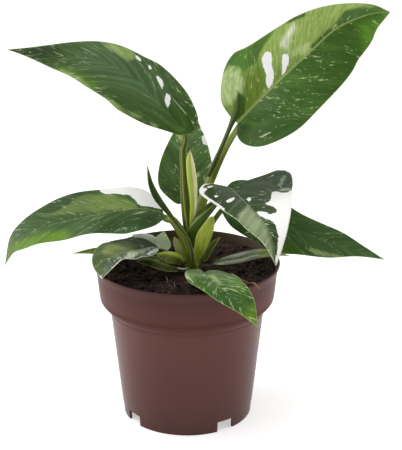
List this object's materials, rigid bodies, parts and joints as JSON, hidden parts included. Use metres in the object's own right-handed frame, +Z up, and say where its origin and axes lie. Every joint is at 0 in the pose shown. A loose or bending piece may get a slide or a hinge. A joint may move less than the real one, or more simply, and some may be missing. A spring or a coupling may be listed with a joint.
{
  "type": "potted philodendron",
  "caption": "Young white-variegated philodendron in a brown nursery pot, with broad marbled leaves on green stalks.",
  "frame": {"origin": "centre of the bounding box on the plane that the pot's foot ring stands on, within 1 mm of the pot's axis", "axes": "+Z up along the pot's axis and along the longest extent, -Y towards the front of the plant, +X to the viewer's right"},
  "size_m": [0.2504, 0.1467, 0.2717],
  "materials": {
    "pot": "satin",
    "soil": "matte",
    "leaf": "satin",
    "petiole": "satin",
    "cataphyll": "satin",
    "young_leaf": "satin",
    "dry_root": "matte"
  },
  "bodies": {
    "root": {"pot": "pot", "soil": "soil", "plant_stem": "petiole", "leaf_upper_left": "leaf", "leaf_upper_right": "leaf", "leaf_back": "leaf", "leaf_left": "leaf", "leaf_front_right": "leaf", "leaf_right": "leaf", "leaf_over_rim_left": "leaf", "leaf_over_rim_front": "leaf", "leaf_narrow_right": "leaf", "leaf_silver": "leaf", "leaf_pale": "leaf", "leaf_far_left": "leaf", "leaf_arched": "leaf", "leaf_low_dark": "leaf", "leaf_pointed": "leaf", "cataphyll_right": "cataphyll", "cataphyll_left": "cataphyll", "cataphyll_small": "cataphyll", "new_leaf_pale": "young_leaf", "new_leaf_dark": "petiole", "dry_root": "dry_root"}
  },
  "joints": []
}
